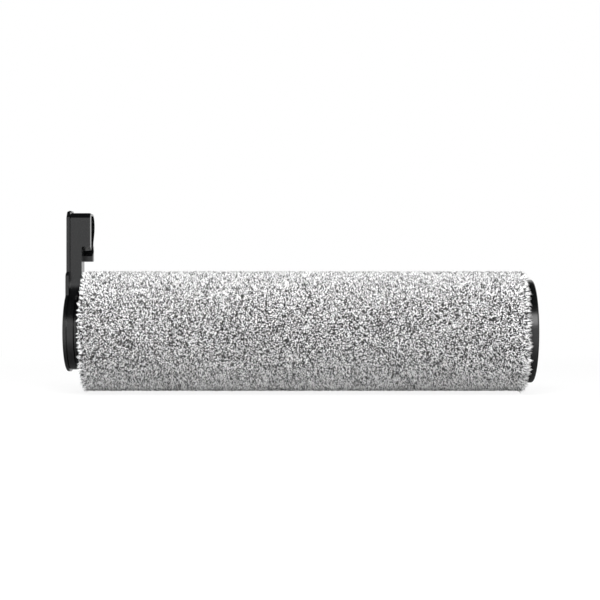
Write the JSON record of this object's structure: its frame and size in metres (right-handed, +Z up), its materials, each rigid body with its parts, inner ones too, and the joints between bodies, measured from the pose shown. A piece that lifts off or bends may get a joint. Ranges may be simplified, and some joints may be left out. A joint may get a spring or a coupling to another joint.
{
  "type": "vacuum roller brush",
  "caption": "Soft plush floor-cleaning roller with a keyed drive socket in a flanged cap, a ball-bearing idle end and a moulded side bracket with an upright catch arm.",
  "frame": {"origin": "on the roller's axis, at the mouth of the drive socket", "axes": "+X along the roller's axis out of the drive socket, +Z up along the bracket's arm, +Y to the side that the arm's head leans to"},
  "size_m": [0.232, 0.06, 0.0899],
  "materials": {
    "nap": "dense plush nap of pale grey fibres",
    "bracket_black": "satin moulded black plastic",
    "cap_black": "satin moulded black plastic",
    "tube_grey": "extruded grey plastic",
    "socket_grey": "hard moulded dark grey plastic",
    "bearing_steel": "ground and polished bearing steel",
    "spring_steel": "dark spring steel",
    "seal_rubber": "black rubber",
    "axle_steel": "turned steel"
  },
  "bodies": {
    "bracket": {"end_bracket": "bracket_black", "side_cover": "bracket_black", "stub_axle": "axle_steel", "axle_washer": "axle_steel", "axle_screw": "axle_steel", "bearing_inner_ring": "bearing_steel", "hub_seal": "seal_rubber"},
    "roller": {"core_tube": "tube_grey", "plush_sleeve": "nap", "drive_end_cap": "cap_black", "drive_socket_insert": "socket_grey", "idle_end_cap": "cap_black", "bearing_outer_ring": "bearing_steel", "bearing_seal_left": "seal_rubber", "bearing_seal_right": "seal_rubber", "bearing_snap_ring": "spring_steel"},
    "ball_set": {"bearing_balls": "bearing_steel", "bearing_cage": "bearing_steel"}
  },
  "joints": [
    {"name": "roller_spin", "type": "hinge", "parent": "bracket", "child": "roller", "pos_m": [-0.2165, 0, 0], "axis": [1, 0, 0], "continuous": true},
    {"name": "cage_orbit", "type": "hinge", "parent": "bracket", "child": "ball_set", "pos_m": [-0.2165, 0, 0], "axis": [1, 0, 0], "continuous": true}
  ],
  "couplings": [
    {"joint": "cage_orbit", "follows": "roller_spin", "ratio": 0.6323}
  ]
}
